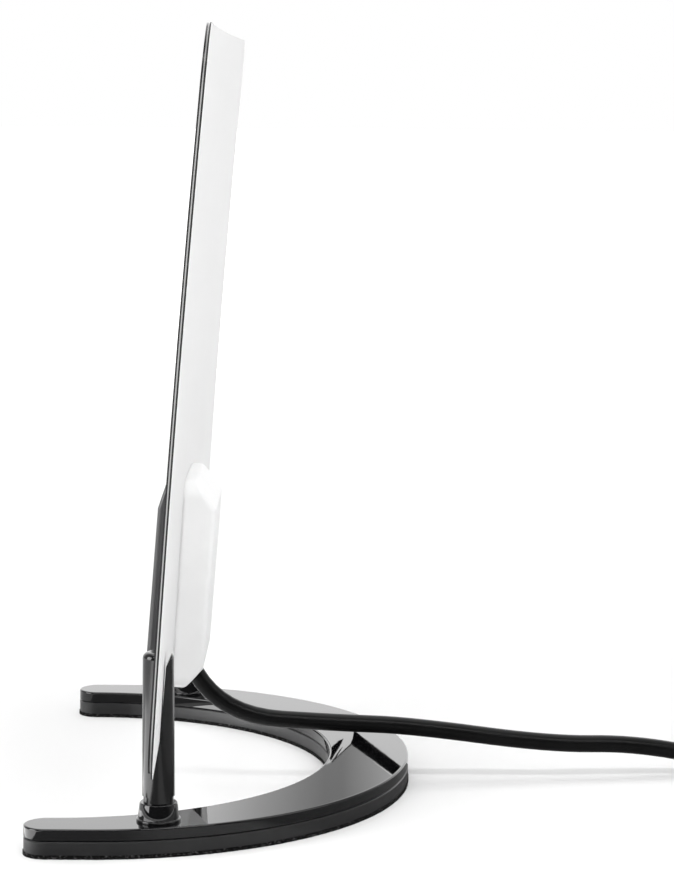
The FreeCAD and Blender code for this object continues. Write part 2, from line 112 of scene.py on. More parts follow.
def finishSurface(tree, tone, haze, gloss, height, depth, sockets, strength=1.0):
    # haze moves the roughness between the two gloss values, height makes a relief of depth mm
    rough = addNode(tree, "ShaderNodeMapRange", {"Value": haze, "From Min": noiseSpan[0],
                                                 "From Max": noiseSpan[1], "To Min": gloss[0],
                                                 "To Max": gloss[1]})
    bump = addNode(tree, "ShaderNodeBump", {"Height": height, "Strength": strength, "Distance": depth * mm})
    shader = addNode(tree, "ShaderNodeBsdfPrincipled", {"Base Color": tone, **sockets,
                                                        "Roughness": rough.outputs["Result"],
                                                        "Normal": bump.outputs["Normal"]})
    addNode(tree, "ShaderNodeOutputMaterial", {"Surface": shader.outputs["BSDF"]})


def gridFaces(points, closeAround, closeAlong):
    # quads between neighbours of a rows x columns grid, turned so that the closed surface faces outwards
    rows, cols = points.shape[:2]
    index = np.arange(rows * cols).reshape(rows, cols)
    if closeAround:
        index = np.hstack([index, index[:, :1]])
    if closeAlong:
        index = np.vstack([index, index[:1]])
    faces = np.stack([index[:-1, :-1], index[:-1, 1:], index[1:, 1:], index[1:, :-1]], -1).reshape(-1, 4)
    a, b, c, d = points.reshape(-1, 3)[faces.T]
    volume = (a * (np.cross(b, c) + np.cross(c, d))).sum()
    return faces if volume > 0 else faces[:, ::-1]


def gridMesh(name, grids, material):
    # grids: points in mm (rows x columns x 3), then whether columns and rows join up
    verts, faces, count = [], [], 0
    for points, closeAround, closeAlong in grids:
        faces.append(gridFaces(points, closeAround, closeAlong) + count)
        verts.append(points.reshape(-1, 3))
        count += len(verts[-1])
    verts, faces = np.vstack(verts), np.vstack(faces)
    mesh = bpy.data.meshes.new(name)
    mesh.from_pydata((verts * mm).tolist(), [], faces.tolist())
    mesh.polygons.foreach_set("use_smooth", np.ones(len(faces), bool))
    mesh.materials.append(material)
    mesh.update()
    piece = bpy.data.objects.new(name, mesh)
    bpy.context.scene.collection.objects.link(piece)
    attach(piece, "root")
    return piece


def dress(material, *names):
    # a CAD node keeps its mesh and gets the finished material
    for name in names:
        mesh = nodes[name].data
        mesh.materials.clear()
        mesh.materials.append(material)


# the lead's jacket: extruded black PVC, satin with faint drawing lines and handling haze; mm
jacket = {"low": "#080808", "high": "#0e0e0f", "highAt": 0.75, "gloss": (0.3, 0.38), "haze": 9.0,
          "grain": 0.5, "depth": 0.02, "strength": 0.25}


def makeJacket(c):
    material, tree = newMaterial("extrudedBlackPvc")
    place = addNode(tree, "ShaderNodeTexCoord").outputs["Object"]
    haze = addNode(tree, "ShaderNodeTexNoise", {"Vector": place, "Scale": 1 / (c["haze"] * mm),
                                                "Detail": 4.0}).outputs["Fac"]
    grain = addNode(tree, "ShaderNodeTexNoise", {"Vector": place, "Scale": 1 / (c["grain"] * mm),
                                                 "Detail": 3.0}).outputs["Fac"]
    colour = addNode(tree, "ShaderNodeValToRGB", {"Fac": haze})
    tone = setStops(colour, [(noiseSpan[0], c["low"]), (c["highAt"], c["high"])])
    finishSurface(tree, tone, haze, c["gloss"], grain, c["depth"], {"IOR": 1.53, "Specular IOR Level": 0.15},
                  c["strength"])
    return material


# lead: the route's points in mm, then the turns of the coil as more points of the same spline
aerialLead = {
    "diameter": 4.8,
    "exit": (-9.402, -10.0, 31.877),
    "route": [(-2.37, -10.0, 19.77), (30.88, -8.0, 17.42), (49.14, -4.5, 16.03), (88.54, -0.5, 9.98),
              (112.0, 3.0, 9.6), (137.0, 6.5, 4.2), (160.0, 8.0, 2.4)],
    "coilCentre": (178.0, 42.2),
    "outerTurn": 34.2,
    "innerTurn": 19.8,
    "spiralTurns": 3,
    "climbDip": 2.0,
    "pointsPerTurn": 24,
    "outAngle": -12.0,
    "outRun": 22.0,
    "plugHeight": 5.0,
    "bevelSteps": 6,
    "curveSteps": 8,
}


def coilPoints(c):
    # radius falls a diameter a turn, one turn climbs to the second layer, then the radius grows a diameter
    # a turn
    spiral, pitch = c["spiralTurns"], c["diameter"]
    total = 2 * spiral + 1 + c["outAngle"] / 360
    turns = np.linspace(0, total, int(round(total * c["pointsPerTurn"])) + 1)
    climb = np.clip(turns - spiral, 0, 1)
    away = np.clip(spiral - turns, 0, None) + np.clip(turns - spiral - 1, 0, None)
    radius = c["innerTurn"] + pitch * away - c["climbDip"] * np.sin(np.pi * climb)
    radius = radius / math.cos(math.pi / c["pointsPerTurn"])
    angle = 2 * np.pi * turns - np.pi / 2
    height = pitch * (0.5 + climb * climb * (3 - 2 * climb))
    x = c["coilCentre"][0] + radius * np.cos(angle)
    y = c["coilCentre"][1] + radius * np.sin(angle)
    return np.stack([x, y, height], -1)


def makeLead(c, material):
    # along the route, round the coil, and off the second layer along its tangent to the plug
    turn = math.radians(c["outAngle"])
    coil = coilPoints(c)
    way = np.array([math.cos(turn), math.sin(turn), 0.0])
    start = np.array([*c["coilCentre"], 0.0]) + c["outerTurn"] * np.array([way[1], -way[0], 0.0])
    start[2] = 1.5 * c["diameter"]
    end = start + way * c["outRun"]
    end[2] = c["plugHeight"]
    line = [c["exit"], *c["route"], *coil.tolist(), tuple(0.5 * (start + end)), tuple(end)]
    curve = bpy.data.curves.new("aerialLead", "CURVE")
    curve.dimensions = "3D"
    curve.bevel_depth = 0.5 * c["diameter"] * mm
    curve.bevel_resolution = c["bevelSteps"]
    curve.resolution_u = c["curveSteps"]
    spline = curve.splines.new("NURBS")
    spline.points.add(len(line) - 1)
    spline.points.foreach_set("co", np.array([[*p, 1 / mm] for p in line]).ravel() * mm)  # weight 1
    spline.order_u = 3
    spline.use_endpoint_u = True
    curve.materials.append(material)
    piece = bpy.data.objects.new("aerialLead", curve)
    bpy.context.scene.collection.objects.link(piece)
    piece.visible_glossy = False  # the base top mirrors the studio alone
    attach(piece, "root")
    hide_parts("coax_cable", "cable_coil")
    run = np.linalg.norm(np.diff(np.array(line), axis=0), axis=1).sum()
    print("lead control run", round(float(run)), "mm")
    return piece


leadJacket = makeJacket(jacket)
leadPiece = makeLead(aerialLead, leadJacket)
dress(leadJacket, "cable_grommet")
print("camera and lead made")


# moulded plastics and the like: a colour, a gloss and a grain, drawn coarser than life so that it shows; mm
plastics = {
    # polished mould: mirror-like, with slow sink waves that bend the reflections a little
    "mouldedGlossBlackAbs": {"low": "#080809", "high": "#0d0d0e", "gloss": (0.006, 0.016),
                             "grain": 14.0, "depth": 0.002, "haze": 25.0},
    # spark-eroded mould: even satin with a fine grain
    "mouldedSatinBlackAbs": {"low": "#181819", "high": "#202021", "gloss": (0.36, 0.46),
                             "grain": 0.28, "depth": 0.006, "haze": 6.0},
    # posts: lightly polished, so soft streaks of light run down them
    "mouldedPostAbs": {"low": "#050506", "high": "#09090a", "gloss": (0.1, 0.16),
                       "grain": 0.6, "depth": 0.004, "haze": 8.0},
    # front cover: satin black, a little glossier than the base; its colour is raised to dark grey, a painted
    # sheen standing in for the light on its near end
    "mouldedCoverAbsPaintedSheen": {"low": "#3a3a3b", "high": "#3e3e3f", "gloss": (0.28, 0.31),
                        "grain": 0.3, "depth": 0.005, "haze": 18.0},
    # rear housing: white, soft sheen from a fine-etched mould
    "mouldedWhiteAbs": {"low": "#ececec", "high": "#f0f0f0", "gloss": (0.5, 0.6),
                        "grain": 0.35, "depth": 0.005, "haze": 12.0},
    # insulator in the plug: waxy natural polyethylene
    "turnedPolyethylene": {"low": "#dcdad4", "high": "#e8e6e0", "gloss": (0.42, 0.5),
                           "grain": 0.3, "depth": 0.004, "haze": 3.0},
    # board: green solder resist over a woven base
    "printedBoardResist": {"low": "#12522c", "high": "#1b6a3a", "gloss": (0.25, 0.35),
                           "grain": 0.5, "depth": 0.01, "haze": 4.0},
    # balun core: pressed and fired ferrite, dull and slightly grainy
    "sinteredFerrite": {"low": "#2a2a2c", "high": "#38383a", "gloss": (0.55, 0.7),
                        "grain": 0.25, "depth": 0.015, "haze": 2.0},
}


def makePlastic(name):
    c = plastics[name]
    material, tree = newMaterial(name)
    place = addNode(tree, "ShaderNodeTexCoord").outputs["Object"]
    haze = addNode(tree, "ShaderNodeTexNoise", {"Vector": place, "Scale": 1 / (c["haze"] * mm),
                                                "Detail": 5.0}).outputs["Fac"]
    grain = addNode(tree, "ShaderNodeTexNoise", {"Vector": place, "Scale": 1 / (c["grain"] * mm),
                                                 "Detail": 2.0}).outputs["Fac"]
    colour = addNode(tree, "ShaderNodeValToRGB", {"Fac": haze})
    tone = setStops(colour, list(zip(noiseSpan, (c["low"], c["high"]))))
    finishSurface(tree, tone, haze, c["gloss"], grain, c["depth"], {"IOR": 1.53})
    return material


# metals: streaks of rolling or plating, drawn along one axis; mm
metals = {
    # foil: pale, with soft streaks along the way it was rolled
    "rolledAluminiumFoil": {"low": "#c4c5c8", "high": "#dcdde0", "gloss": (0.25, 0.4),
                            "streak": (0.4, 6.0, 0.4)},
    # zinc: grey and cloudy
    "zincPlatedSteel": {"low": "#9a9c9e", "high": "#b4b6b8", "gloss": (0.3, 0.45),
                        "streak": (0.8, 0.8, 0.8)},
    # tin: brighter, with faint drawing streaks
    "tinnedSteel": {"low": "#aeb0b2", "high": "#c6c8ca", "gloss": (0.28, 0.42),
                    "streak": (0.5, 3.0, 0.5)},
    # brass: warm yellow, fine rolling lines
    "rolledBrass": {"low": "#b08a3c", "high": "#caa552", "gloss": (0.22, 0.35),
                    "streak": (0.2, 2.0, 0.2)},
    # nickel: clear and bright
    "nickelPlatedBrass": {"low": "#b9b6ae", "high": "#cfccc4", "gloss": (0.16, 0.24),
                          "streak": (0.3, 0.3, 0.3)},
}
streakRelief = {"depth": 0.004, "strength": 0.5}


def makeMetal(name):
    c = metals[name]
    material, tree = newMaterial(name)
    place = addNode(tree, "ShaderNodeTexCoord").outputs["Object"]
    drawn = addNode(tree, "ShaderNodeMapping", {"Vector": place,
                                                "Scale": [1 / (size * mm) for size in c["streak"]]})
    streak = addNode(tree, "ShaderNodeTexNoise", {"Vector": drawn.outputs["Vector"], "Scale": 1.0,
                                                  "Detail": 4.0}).outputs["Fac"]
    colour = addNode(tree, "ShaderNodeValToRGB", {"Fac": streak})
    tone = setStops(colour, list(zip(noiseSpan, (c["low"], c["high"]))))
    finishSurface(tree, tone, streak, c["gloss"], streak, streakRelief["depth"], {"Metallic": 1.0},
                  streakRelief["strength"])
    return material


# the panel's two sheets: layers that show in the cut edge, by depth in the dish; mm
dish = {"radius": 4600.0, "centre": (-9.6, 0.0, 116.6), "lean": 4.47}
laminates = {
    # front sheet: black skin, a light grey band at mid-depth that paints the highlight along the middle of
    # its cut edge, a dark glue line, faint orange peel
    "laminatedBlackPolystyrene": {
        "depths": (0.4, 1.25), "gloss": (0.25, 0.28), "specular": 0.25, "haze": 40.0, "peel": 1.2,
        "layers": [(0.0, "#060606"), (0.10, "#0a0a0a"), (0.16, "#989898"), (0.44, "#a0a0a0"),
                   (0.52, "#2c2c2d"), (1.0, "#1a1a1b")]},
    # rear sheet: white film on a black backing
    "calenderedWhiteFilm": {
        "depths": (0.0, 0.4), "gloss": (0.55, 0.65), "specular": 0.5, "haze": 20.0, "peel": 1.6,
        "layers": [(0.0, "#e8e8e8"), (0.12, "#e8e8e8"), (0.2, "#080808"), (1.0, "#060606")]},
}
toneSpan = (0.985, 1.01)
peelDepth = 0.004


def makeLaminate(name):
    # depth in front of the panel's back = distance to the dish's centre less the dish's radius
    c = laminates[name]
    material, tree = newMaterial(name)
    lean = math.radians(dish["lean"])
    centre = np.array(dish["centre"]) + dish["radius"] * np.array([math.cos(lean), 0.0, -math.sin(lean)])
    place = addNode(tree, "ShaderNodeTexCoord").outputs["Object"]
    reach = addNode(tree, "ShaderNodeVectorMath", {0: place, 1: (centre * mm).tolist()},
                    operation="DISTANCE")
    layer = addNode(tree, "ShaderNodeMapRange", {"Value": reach.outputs["Value"],
                                                 "From Min": (dish["radius"] + c["depths"][0]) * mm,
                                                 "From Max": (dish["radius"] + c["depths"][1]) * mm})
    colour = addNode(tree, "ShaderNodeValToRGB", {"Fac": layer.outputs["Result"]})
    layered = setStops(colour, c["layers"])
    haze = addNode(tree, "ShaderNodeTexNoise", {"Vector": place, "Scale": 1 / (c["haze"] * mm),
                                                "Detail": 5.0}).outputs["Fac"]
    peel = addNode(tree, "ShaderNodeTexNoise", {"Vector": place, "Scale": 1 / (c["peel"] * mm),
                                                "Detail": 2.0}).outputs["Fac"]
    shade = addNode(tree, "ShaderNodeMapRange", {"Value": haze, "From Min": noiseSpan[0],
                                                 "From Max": noiseSpan[1], "To Min": toneSpan[0],
                                                 "To Max": toneSpan[1]})
    tone = addNode(tree, "ShaderNodeHueSaturation", {"Color": layered, "Value": shade.outputs["Result"]})
    finishSurface(tree, tone.outputs["Color"], haze, c["gloss"], peel, peelDepth,
                  {"IOR": 1.59, "Specular IOR Level": c["specular"]})
    return material


# base: the crescent's two circles, shared by the foot pad and the top shell; mm
crescent = {"outer": 81.9, "inner": 70.5, "outerCentre": -32.9, "innerCentre": -43.3}


# foot pad: die-cut foam with small open cells, ragged where it was cut; mm
footFoam = {
    **crescent,
    "lip": 0.25,
    "height": 1.0,
    "cell": 0.45,
    "cellDepth": 0.15,
    "ragged": 0.22,
    "tipTrim": 0.03,
    "stations": 760,
    "endStations": 26,
    "sideSteps": 6,
    "flatSteps": 9,
    "seed": 7,
}


def makeFoam(c):
    material, tree = newMaterial("dieCutBlackFoam")
    place = addNode(tree, "ShaderNodeTexCoord").outputs["Object"]
    cells = addNode(tree, "ShaderNodeTexVoronoi", {"Vector": place, "Scale": 1 / (c["cell"] * mm)})
    # painted shade and highlight: the colour is darkest in each cell's pit and light grey at its rim,
    # standing in for the bright specks along the cut edge
    colour = addNode(tree, "ShaderNodeValToRGB", {"Fac": cells.outputs["Distance"]})
    tone = setStops(colour, [(0.15, "#030303"), (0.6, "#0a0a0a"), (0.9, "#4a4a4a")])
    bump = addNode(tree, "ShaderNodeBump", {"Height": cells.outputs["Distance"], "Strength": 1.0,
                                            "Distance": c["cellDepth"] * mm})
    shader = addNode(tree, "ShaderNodeBsdfPrincipled", {"Base Color": tone, "Roughness": 0.93,
                                                        "Normal": bump.outputs["Normal"], "IOR": 1.5,
                                                        "Specular IOR Level": 0.12})
    addNode(tree, "ShaderNodeOutputMaterial", {"Surface": shader.outputs["BSDF"]})
    return material


def armSections(c):
    # rays from the inner circle's centre meet the outer outline at reach; past the last ray the arm ends in
    # a half circle
    endStations = c["endStations"]
    angle = np.linspace(-np.pi / 2, np.pi / 2, c["stations"])
    shift = (c["outerCentre"] - c["innerCentre"]) * np.cos(angle)
    gap = (c["outerCentre"] - c["innerCentre"]) ** 2
    reach = shift + np.sqrt(shift ** 2 - gap + c["outer"] ** 2)
    side = c["outer"] / np.maximum(np.abs(np.sin(angle)), 1e-6)
    straight = c["innerCentre"] + side * np.cos(angle) <= c["outerCentre"]
    reach = np.where(straight, side, reach)
    middle = 0.5 * (reach + c["inner"])
    half = 0.5 * (reach - c["inner"]) + c["lip"]
    across = np.stack([np.cos(angle), np.sin(angle), 0 * angle], -1)
    centre = middle[:, None] * across + np.array([c["innerCentre"], 0, 0])
    turn = np.linspace(0, np.pi / 2, endStations + 1)[1:]
    endHalf = half[0] * np.cos(turn)
    endX = c["innerCentre"] - (half[0] - c["tipTrim"]) * np.sin(turn)
    near = np.stack([endX, np.full_like(endX, -middle[0]), 0 * endX], -1)
    far = near * np.array([1, -1, 1])
    centre = np.vstack([near[::-1], centre, far])
    ends = (endStations, 1)
    across = np.vstack([np.tile(across[0], ends), across, np.tile(across[-1], ends)])
    half = np.concatenate([endHalf[::-1], half, endHalf])
    return centre, across, half


def makeFootPad(c, material):
    # section: flat bottom and top, sides moved inwards by noise, swept round the crescent
    centre, across, half = armSections(c)
    side = np.linspace(0.0, 1.0, c["sideSteps"])
    flat = np.linspace(1.0, -1.0, c["flatSteps"])[1:-1]
    u = np.concatenate([np.ones_like(side), flat, -np.ones_like(side), -flat])
    v = np.concatenate([side, np.ones_like(flat), side[::-1], np.zeros_like(flat)])
    rng = np.random.default_rng(c["seed"])
    noise = rng.random((len(half), len(u)))
    noise = 0.5 * noise + 0.25 * (np.roll(noise, 1, 0) + np.roll(noise, -1, 0))  # smoothed along the arm
    edge = (np.abs(u) == 1)[None, :]
    bite = c["ragged"] * noise * edge
    width = np.maximum(half[:, None] - bite, 0.0)
    points = centre[:, None, :] + across[:, None, :] * (width * u)[..., None]
    points[..., 2] = c["height"] * v
    return gridMesh("footPadFoam", [(points, True, False)], material)


# top shell: polished crescent with a rounded top edge, and the two collars that the posts stand in; mm
topShell = {
    **crescent,
    "seam": 4.4,
    "top": 7.6,
    "edgeRound": 0.5,
    "grooveDepth": 0.9,
    "grooveHeight": 0.32,
    "support": 0.15,
    "endStations": 24,
    "lineStations": 6,
    "arcStations": 320,
    "roundSteps": 8,
    "topColumns": 9,
    "postX": -15.5,
    "postY": 72.409,
    "ringRadius": 5.6,
    "ringHeight": 0.8,
    "coneFoot": 5.3,
    "coneTip": 4.75,
    "coneHeight": 4.8,
    "bore": 3.1,
    "collarRound": 0.3,
    "collarFold": 0.1,
    "around": 120,
}


def crescentSides(c):
    # outline from the near arm's tip to the far one's: quarter circle, outer or inner arc, quarter circle;
    # with normals
    middle = 0.5 * (c["outer"] + c["inner"])
    end = 0.5 * (c["outer"] - c["inner"])
    quarter = np.linspace(0, np.pi / 2, c["endStations"], endpoint=False)
    sweep = np.linspace(-np.pi / 2, np.pi / 2, c["arcStations"])
    whole = np.linspace(-np.pi / 2, np.pi / 2, c["arcStations"] + 2 * c["lineStations"])
    line = np.linspace(c["innerCentre"], c["outerCentre"], c["lineStations"], endpoint=False)
    tipWay = np.stack([-np.cos(quarter), np.sin(quarter)], -1)
    flip = np.array([1, -1])
    nearCentre = np.array([c["innerCentre"], -middle])
    nearLine = np.stack([line, np.full_like(line, -c["outer"])], -1)
    lineWay = np.tile([0.0, -1.0], (len(line), 1))
    arcWay = np.stack([np.cos(sweep), np.sin(sweep)], -1)
    innerWay = np.stack([np.cos(whole), np.sin(whole)], -1)
    nearOuter = nearCentre + end * tipWay * flip
    nearInner = nearCentre + end * tipWay
    outer = [nearOuter, nearLine, c["outer"] * arcWay + [c["outerCentre"], 0], nearLine[::-1] * flip,
             nearOuter[::-1] * flip]
    outerWay = [tipWay * flip, lineWay, arcWay, lineWay * flip, tipWay[::-1]]
    inner = [nearInner, c["inner"] * innerWay + [c["innerCentre"], 0], nearInner[::-1] * flip]
    innerOut = [tipWay, -innerWay, tipWay[::-1] * flip]
    return np.vstack(outer), np.vstack(outerWay), np.vstack(inner), np.vstack(innerOut)


def makeTopShell(c, material):
    # section: undercut at the seam, upright wall, quarter round, flat top, and the same down the inner side
    turn = np.linspace(0, np.pi / 2, c["roundSteps"] + 1)
    r, gap = c["edgeRound"], c["support"]
    lip = c["seam"] + c["grooveHeight"]
    inset = np.concatenate([[c["grooveDepth"], 0, 0, 0], r * (1 - np.cos(turn)), [r + gap]])
    height = np.concatenate([[c["seam"], lip, lip + gap, c["top"] - r - gap],
                             c["top"] - r + r * np.sin(turn), [c["top"]]])
    outer, outerWay, inner, innerOut = crescentSides(c)
    outerWall = outer[:, None, :] - outerWay[:, None, :] * inset[None, :, None]
    innerWall = (inner[:, None, :] - innerOut[:, None, :] * inset[None, :, None])[:, ::-1]
    share = np.linspace(0, 1, c["topColumns"] + 2)[1:-1][None, :, None]
    flat = outerWall[:, -1:, :] * (1 - share) + innerWall[:, :1, :] * share
    plan = np.concatenate([outerWall, flat, innerWall], 1)
    level = np.concatenate([height, np.full(c["topColumns"], c["top"]), height[::-1]])
    shell = np.dstack([plan, np.broadcast_to(level, plan.shape[:2])])
    grids = [(shell, True, False)]
    # collar: ring, cone and bore turned about the post, each outer corner a quarter round
    k, fold = c["collarRound"], c["collarFold"]
    ring, tip, bore = c["ringRadius"], c["coneTip"], c["bore"]
    ringTop = c["top"] + c["ringHeight"]
    tipTop = c["top"] + c["coneHeight"]
    slope = (c["coneFoot"] - tip) / c["coneHeight"]
    cone = c["coneFoot"] - slope * c["ringHeight"]
    sunk = c["top"] - r
    radius = np.concatenate([[ring, ring], ring - k + k * np.cos(turn),
                             [cone + fold, cone, cone - fold * slope, tip + slope * (k + gap)],
                             tip - k + k * np.cos(turn), [tip - k - gap, bore + gap, bore, bore, bore]])
    z = np.concatenate([[sunk, ringTop - k - gap], ringTop - k + k * np.sin(turn),
                        [ringTop, ringTop, ringTop + fold, tipTop - k - gap],
                        tipTop - k + k * np.sin(turn), [tipTop, tipTop, tipTop, tipTop - gap, sunk]])
    angle = np.linspace(0, 2 * np.pi, c["around"], endpoint=False)
    for side in (-1, 1):
        x = c["postX"] + radius[:, None] * np.cos(angle)
        y = side * c["postY"] + radius[:, None] * np.sin(angle)
        grids.append((np.dstack([x, y, np.broadcast_to(z[:, None], x.shape)]), True, True))
    return gridMesh("topShell", grids, material)


# plug body: turned profile with grip rings, in mm along the plug's axis
plugGrip = {
    "start": (192.408, 4.174, 5.0),
    "angle": -12.0,
    "length": 24.0,
    "waist": 3.5,
    "body": 5.0,
    "waistLength": 8.0,
    "ringDepth": 0.45,
    "ringPitch": 1.9,
    "ringZone": (9.5, 20.5),
    "noseLength": 0.8,
    "noseDrop": 0.6,
    "stations": 170,
    "around": 64,
}


def makePlugBody(c, material):
    # radius eases from waist to body, less ringDepth (1 - cos) / 2 in the ring zone and noseDrop at the
    # nose; closed at both ends
    along = np.linspace(0, c["length"], c["stations"])
    ease = np.clip(along / c["waistLength"], 0, 1)
    ease = ease * ease * (3 - 2 * ease)
    radius = c["waist"] + (c["body"] - c["waist"]) * ease
    low, high = c["ringZone"]
    zone = (along > low) & (along < high)
    radius = radius - zone * c["ringDepth"] * 0.5 * (1 - np.cos(2 * np.pi * (along - low) / c["ringPitch"]))
    nose = np.clip((along - (c["length"] - c["noseLength"])) / c["noseLength"], 0, 1)
    radius = radius - c["noseDrop"] * nose * nose
    along = np.concatenate([[0.0], along, [c["length"]]])
    radius = np.concatenate([[0.0], radius, [0.0]])
    angle = np.linspace(0, 2 * np.pi, c["around"], endpoint=False)
    turn = math.radians(c["angle"])
    way = np.array([math.cos(turn), math.sin(turn), 0.0])
    aside = np.array([-way[1], way[0], 0.0])
    up = np.array([0.0, 0.0, 1.0])
    ring = np.cos(angle)[:, None] * aside + np.sin(angle)[:, None] * up
    points = np.array(c["start"]) + along[:, None, None] * way + radius[:, None, None] * ring
    return gridMesh("plugBody", [(points, True, False)], material)


# tie: woven nylon strap; mm and degrees
strap = {"thread": 0.5, "turn": -60.0, "depth": 0.1, "waveLength": 0.314}


def makeStrap(c):
    # a wave texture repeats every waveLength at scale 1
    material, tree = newMaterial("wovenNylonStrap")
    place = addNode(tree, "ShaderNodeTexCoord").outputs["Object"]
    turned = addNode(tree, "ShaderNodeMapping", {"Vector": place,
                                                 "Rotation": (0.0, 0.0, math.radians(c["turn"]))})
    thread = {"Vector": turned.outputs["Vector"], "Scale": c["waveLength"] / (c["thread"] * mm)}
    warp = addNode(tree, "ShaderNodeTexWave", thread, bands_direction="X")
    weft = addNode(tree, "ShaderNodeTexWave", thread, bands_direction="Y")
    weave = addNode(tree, "ShaderNodeMath", {0: warp.outputs["Fac"], 1: weft.outputs["Fac"]},
                    operation="MULTIPLY")
    # painted shade: the colour is darker where the weave dips between threads and lighter on their tops
    colour = addNode(tree, "ShaderNodeValToRGB", {"Fac": weave.outputs["Value"]})
    tone = setStops(colour, [(0.0, "#0c0c0d"), (1.0, "#2a2a2c")])
    bump = addNode(tree, "ShaderNodeBump", {"Height": weave.outputs["Value"], "Strength": 1.0,
                                            "Distance": c["depth"] * mm})
    shader = addNode(tree, "ShaderNodeBsdfPrincipled", {"Base Color": tone, "Roughness": 0.8,
                                                        "Normal": bump.outputs["Normal"],
                                                        "Sheen Weight": 0.3})
    addNode(tree, "ShaderNodeOutputMaterial", {"Surface": shader.outputs["BSDF"]})
    return material


footPadPiece = makeFootPad(footFoam, makeFoam(footFoam))
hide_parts("foot_pad")
postPlastic = makePlastic("mouldedPostAbs")
plugPiece = makePlugBody(plugGrip, postPlastic)
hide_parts("plug_body")
topShellPiece = makeTopShell(topShell, makePlastic("mouldedGlossBlackAbs"))
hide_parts("base_top_shell")
dress(makePlastic("mouldedSatinBlackAbs"), "base_bottom_shell")
dress(postPlastic, "right_post", "left_post")
# the cover's dark grey colour is a painted sheen
dress(makePlastic("mouldedCoverAbsPaintedSheen"), "front_cover")
dress(makePlastic("mouldedWhiteAbs"), "rear_housing")
dress(makeLaminate("calenderedWhiteFilm"), "rear_sheet")
dress(makePlastic("turnedPolyethylene"), "plug_insulator")
dress(makePlastic("printedBoardResist"), "circuit_board")
dress(makePlastic("sinteredFerrite"), "balun_core")
dress(makeLaminate("laminatedBlackPolystyrene"), "front_panel")
dress(makeMetal("rolledAluminiumFoil"), "left_element", "right_element")
dress(makeMetal("zincPlatedSteel"), "base_weight", "base_screws")
dress(makeMetal("tinnedSteel"), "shield_can")
dress(makeMetal("rolledBrass"), "left_contact", "right_contact")
dress(makeMetal("nickelPlatedBrass"), "plug_sleeve", "plug_pin")
dress(makeStrap(strap), "cable_tie")
print("pieces dressed")


# studio: white paper, a white room and soft boxes; metres and watts
studio = {
    "floorSize": 24.0,
    "floorTone": "#e4e4e4",
    "floorGlow": 0.06,
    "farGlow": 1.0,
    "farStart": 0.35,
    "farEnd": 1.6,
    "sky": 0.62,
    "frontGloss": 0.05,
    "sideGloss": 0.5,
    "rearGloss": 1.8,
    "sideRange": (-0.6, 0.1),
    "rearRange": (0.45, 0.9),
    "lamps": [
        {"name": "leftBox", "place": (-1.2, -0.5, 0.5), "aim": (0, 0, 0.05), "size": (0.8, 0.9),
         "power": 15.0, "mirrored": True},
        {"name": "rightBox", "place": (1.5, -0.3, 1.0), "aim": (0, 0, 0.1), "size": (1.0, 1.2),
         "power": 4.5, "mirrored": True},
        {"name": "topBox", "place": (0.0, 0.5, 1.8), "aim": (0, 0, 0), "size": (1.6, 1.2),
         "power": 10.5, "mirrored": True},
        {"name": "frontFill", "place": (0.3, -1.6, 0.8), "aim": (0, 0, 0.1), "size": (1.2, 1.0),
         "power": 4.0, "mirrored": False},
        {"name": "streakBox", "place": (0.1, -0.95, 1.25), "aim": (0.05, 0, 0.02), "size": (1.8, 0.15),
         "power": 10.0, "mirrored": True},
    ],
}


def makeFloor(c):
    # matt white paper; camera and reflections see a glow on top that grows with distance, so it ends
    # in white
    material, tree = newMaterial("mattWhitePaper")
    place = addNode(tree, "ShaderNodeTexCoord").outputs["Object"]
    paper = addNode(tree, "ShaderNodeBsdfDiffuse", {"Color": linear(c["floorTone"])})
    away = addNode(tree, "ShaderNodeVectorMath", {0: place}, operation="LENGTH")
    level = addNode(tree, "ShaderNodeMapRange", {"Value": away.outputs["Value"], "From Min": c["farStart"],
                                                 "From Max": c["farEnd"], "To Min": c["floorGlow"],
                                                 "To Max": c["farGlow"]}, interpolation_type="SMOOTHSTEP")
    light = addNode(tree, "ShaderNodeLightPath")
    seen = addNode(tree, "ShaderNodeMath", {0: light.outputs["Is Camera Ray"],
                                            1: light.outputs["Is Glossy Ray"]}, operation="MAXIMUM")
    power = addNode(tree, "ShaderNodeMath", {0: seen.outputs["Value"], 1: level.outputs["Result"]},
                    operation="MULTIPLY")
    glow = addNode(tree, "ShaderNodeEmission", {"Strength": power.outputs["Value"]})
    both = addNode(tree, "ShaderNodeAddShader", {0: paper.outputs["BSDF"], 1: glow.outputs["Emission"]})
    addNode(tree, "ShaderNodeOutputMaterial", {"Surface": both.outputs["Shader"]})
    half = 0.5 * c["floorSize"]
    mesh = bpy.data.meshes.new("studioFloor")
    corners = [(-half, -half, 0), (half, -half, 0), (half, half, 0), (-half, half, 0)]
    mesh.from_pydata(corners, [], [(0, 1, 2, 3)])
    mesh.materials.append(material)
    floor = bpy.data.objects.new("studioFloor", mesh)
    bpy.context.scene.collection.objects.link(floor)


